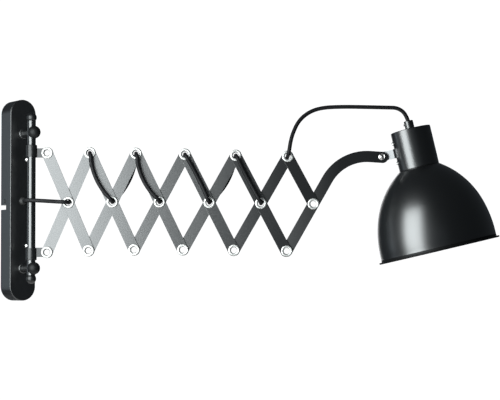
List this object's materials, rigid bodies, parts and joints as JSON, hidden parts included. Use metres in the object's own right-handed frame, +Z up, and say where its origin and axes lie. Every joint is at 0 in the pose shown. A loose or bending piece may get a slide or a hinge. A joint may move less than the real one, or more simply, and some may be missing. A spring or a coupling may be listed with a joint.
{
  "type": "accordion wall lamp",
  "caption": "Scissor-arm wall lamp: an extending lattice arm swings on a rod in front of a slim wall box and carries a tilting bell shade, its cord woven through the hollow rivets.",
  "frame": {"origin": "middle of the wall strip's back face, on the wall plane", "axes": "+Z up, +Y into the wall, the lamp stands out on the -Y side; +X to the right seen from the room"},
  "size_m": [0.6044, 0.5135, 0.305],
  "materials": {
    "black_paint": "satin black paint",
    "shade_black": "semi-gloss black lacquer",
    "nickel": "polished nickel plate",
    "cord_black": "black round flex, matt sheath",
    "holder_black": "moulded black plastic",
    "terminal_white": "natural white plastic"
  },
  "bodies": {
    "wall_side": {"wall_cover": "black_paint", "wall_strip": "nickel", "side_screws": "black_paint", "terminal_block": "terminal_white", "rod_posts": "black_paint", "post_nuts": "nickel", "ball_nuts": "holder_black", "wall_rod": "black_paint", "rod_finials": "black_paint", "stop_screws": "nickel", "plate_gland": "holder_black", "cord_tail": "cord_black"},
    "lower_bracket": {"lower_bracket": "black_paint", "cord_inlet": "cord_black"},
    "rising_0": {"rising_bar_0": "black_paint", "rising_eyelet_0": "nickel", "cord_back_0": "cord_black"},
    "falling_0": {"falling_bar_0": "black_paint", "falling_eyelets_0": "nickel"},
    "upper_bracket": {"upper_bracket": "black_paint"},
    "falling_1": {"falling_bar_1": "black_paint", "falling_eyelets_1": "nickel", "cord_front_1": "cord_black"},
    "rising_1": {"rising_bar_1": "black_paint", "rising_eyelet_1": "nickel", "cord_back_1": "cord_black"},
    "falling_2": {"falling_bar_2": "black_paint", "falling_eyelets_2": "nickel", "cord_front_2": "cord_black"},
    "rising_2": {"rising_bar_2": "black_paint", "rising_eyelet_2": "nickel", "cord_back_2": "cord_black"},
    "falling_3": {"falling_bar_3": "black_paint", "falling_eyelets_3": "nickel", "cord_front_3": "cord_black"},
    "rising_3": {"rising_bar_3": "black_paint", "rising_eyelet_3": "nickel", "cord_back_3": "cord_black"},
    "falling_4": {"falling_bar_4": "black_paint", "falling_eyelets_4": "nickel", "cord_front_4": "cord_black"},
    "rising_4": {"rising_bar_4": "black_paint", "rising_eyelet_4": "nickel", "cord_back_4": "cord_black"},
    "falling_5": {"falling_bar_5": "black_paint", "falling_eyelets_5": "nickel"},
    "end_arm": {"end_arm": "black_paint", "rising_eyelet_5": "nickel", "cord_arc": "cord_black"},
    "shade_head": {"tilt_ear": "nickel", "tilt_screw": "nickel", "tilt_nut": "nickel", "cap_saddle": "black_paint", "shade_screws": "nickel", "cap": "shade_black", "cord_gland": "shade_black", "nipple": "nickel", "lamp_holder": "holder_black", "shade_ring": "holder_black", "shade": "shade_black"}
  },
  "joints": [
    {"name": "swivel", "type": "hinge", "parent": "wall_side", "child": "lower_bracket", "pos_m": [0, -0.0556, 0], "axis": [0, 0, 1], "range_deg": [-133, 27], "deforming": ["cord_inlet"]},
    {"name": "fold", "type": "hinge", "parent": "lower_bracket", "child": "rising_0", "pos_m": [0.01909, -0.06998, -0.07813], "axis": [-0.6018, -0.7986, 0], "range_deg": [0, 8.5], "deforming": ["cord_inlet"]},
    {"name": "pivot_middle_0", "type": "hinge", "parent": "rising_0", "child": "falling_0", "pos_m": [0.04467, -0.08926, -0.0034], "axis": [-0.6018, -0.7986, 0], "range_deg": [-17, 0]},
    {"name": "pivot_top_0", "type": "hinge", "parent": "falling_0", "child": "upper_bracket", "pos_m": [0.01909, -0.06998, 0.07133], "axis": [-0.6018, -0.7986, 0], "range_deg": [0, 8.5]},
    {"name": "pivot_top_1", "type": "hinge", "parent": "rising_0", "child": "falling_1", "pos_m": [0.07024, -0.10853, 0.07133], "axis": [-0.6018, -0.7986, 0], "range_deg": [-17, 0]},
    {"name": "pivot_middle_1", "type": "hinge", "parent": "falling_1", "child": "rising_1", "pos_m": [0.09727, -0.1289, -0.0026], "axis": [-0.6018, -0.7986, 0], "range_deg": [0, 17]},
    {"name": "pivot_top_2", "type": "hinge", "parent": "rising_1", "child": "falling_2", "pos_m": [0.12566, -0.15029, 0.07051], "axis": [-0.6018, -0.7986, 0], "range_deg": [-17, 0]},
    {"name": "pivot_middle_2", "type": "hinge", "parent": "falling_2", "child": "rising_2", "pos_m": [0.15392, -0.17159, -0.00268], "axis": [-0.6018, -0.7986, 0], "range_deg": [0, 17]},
    {"name": "pivot_top_3", "type": "hinge", "parent": "rising_2", "child": "falling_3", "pos_m": [0.18435, -0.19451, 0.06914], "axis": [-0.6018, -0.7986, 0], "range_deg": [-17, 0]},
    {"name": "pivot_middle_3", "type": "hinge", "parent": "falling_3", "child": "rising_3", "pos_m": [0.21364, -0.21659, -0.00342], "axis": [-0.6018, -0.7986, 0], "range_deg": [0, 17]},
    {"name": "pivot_top_4", "type": "hinge", "parent": "rising_3", "child": "falling_4", "pos_m": [0.24533, -0.24047, 0.06754], "axis": [-0.6018, -0.7986, 0], "range_deg": [-17, 0]},
    {"name": "pivot_middle_4", "type": "hinge", "parent": "falling_4", "child": "rising_4", "pos_m": [0.27545, -0.26317, -0.00448], "axis": [-0.6018, -0.7986, 0], "range_deg": [0, 17]},
    {"name": "pivot_top_5", "type": "hinge", "parent": "rising_4", "child": "falling_5", "pos_m": [0.30768, -0.28745, 0.0661], "axis": [-0.6018, -0.7986, 0], "range_deg": [-17, 0]},
    {"name": "pivot_middle_5", "type": "hinge", "parent": "falling_5", "child": "end_arm", "pos_m": [0.33843, -0.31063, -0.0055], "axis": [-0.6018, -0.7986, 0], "range_deg": [0, 17], "deforming": ["cord_arc"]},
    {"name": "shade_tilt", "type": "hinge", "parent": "end_arm", "child": "shade_head", "pos_m": [0.42051, -0.37248, 0.06565], "axis": [-0.6018, -0.7986, 0], "range_deg": [-20, 60], "deforming": ["cord_arc"]}
  ],
  "couplings": [
    {"joint": "pivot_middle_0", "follows": "fold", "ratio": -2},
    {"joint": "pivot_top_0", "follows": "fold", "ratio": 1},
    {"joint": "pivot_top_1", "follows": "fold", "ratio": -2},
    {"joint": "pivot_middle_1", "follows": "fold", "ratio": 2},
    {"joint": "pivot_top_2", "follows": "fold", "ratio": -2},
    {"joint": "pivot_middle_2", "follows": "fold", "ratio": 2},
    {"joint": "pivot_top_3", "follows": "fold", "ratio": -2},
    {"joint": "pivot_middle_3", "follows": "fold", "ratio": 2},
    {"joint": "pivot_top_4", "follows": "fold", "ratio": -2},
    {"joint": "pivot_middle_4", "follows": "fold", "ratio": 2},
    {"joint": "pivot_top_5", "follows": "fold", "ratio": -2},
    {"joint": "pivot_middle_5", "follows": "fold", "ratio": 2}
  ]
}
